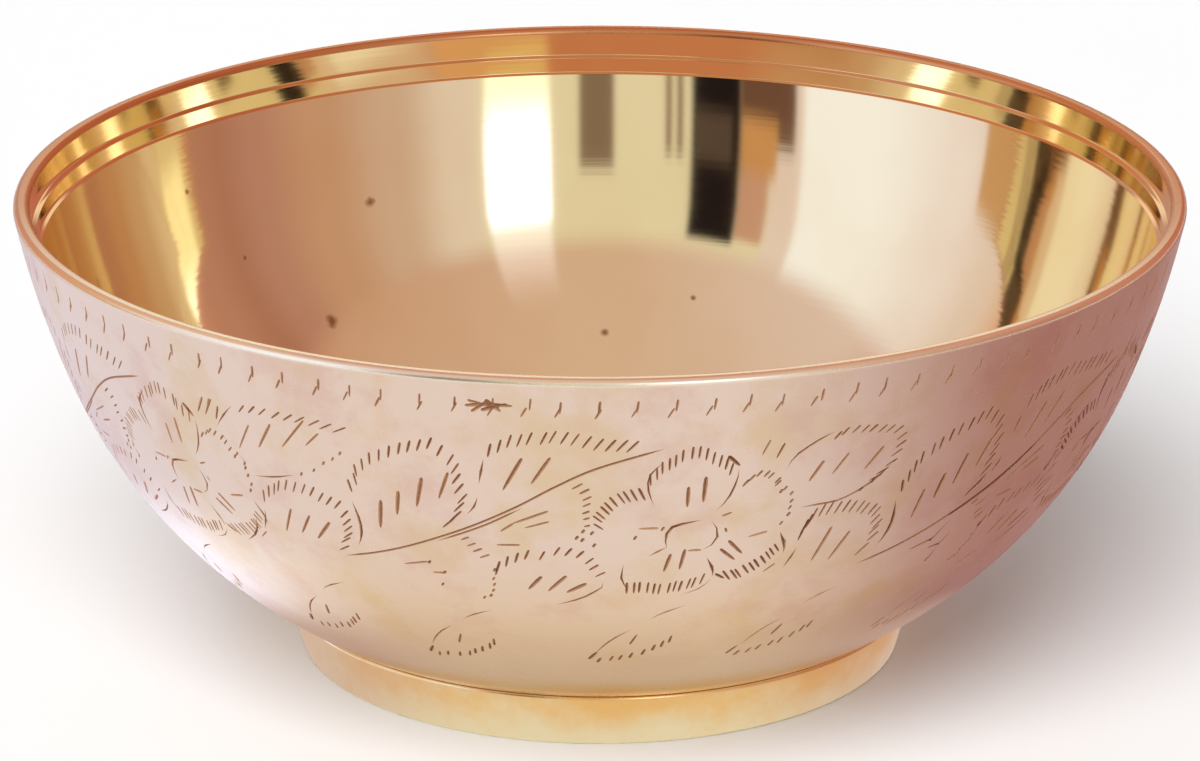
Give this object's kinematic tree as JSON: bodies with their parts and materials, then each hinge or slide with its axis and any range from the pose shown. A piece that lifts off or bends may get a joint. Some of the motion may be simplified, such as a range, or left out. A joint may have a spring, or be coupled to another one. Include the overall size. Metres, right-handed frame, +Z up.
{
  "type": "offering bowl",
  "caption": "Round brass offering bowl with a flat lip, two turned steps under the lip, a polished inside, an engraved flower band and a soldered foot ring.",
  "frame": {"origin": "centre of the foot ring's base, on the surface that the bowl stands on", "axes": "+Z up along the bowl's axis; -Y is the front that the picture shows; +X to the right from there"},
  "size_m": [0.1496, 0.1496, 0.061],
  "materials": {
    "shell_brass": "satin outside, mirror polished inside",
    "foot_brass": "polished",
    "solder": "dull, tarnished"
  },
  "bodies": {
    "root": {"bowl_shell": "shell_brass", "foot_ring": "foot_brass", "solder_seam": "solder"}
  },
  "joints": []
}
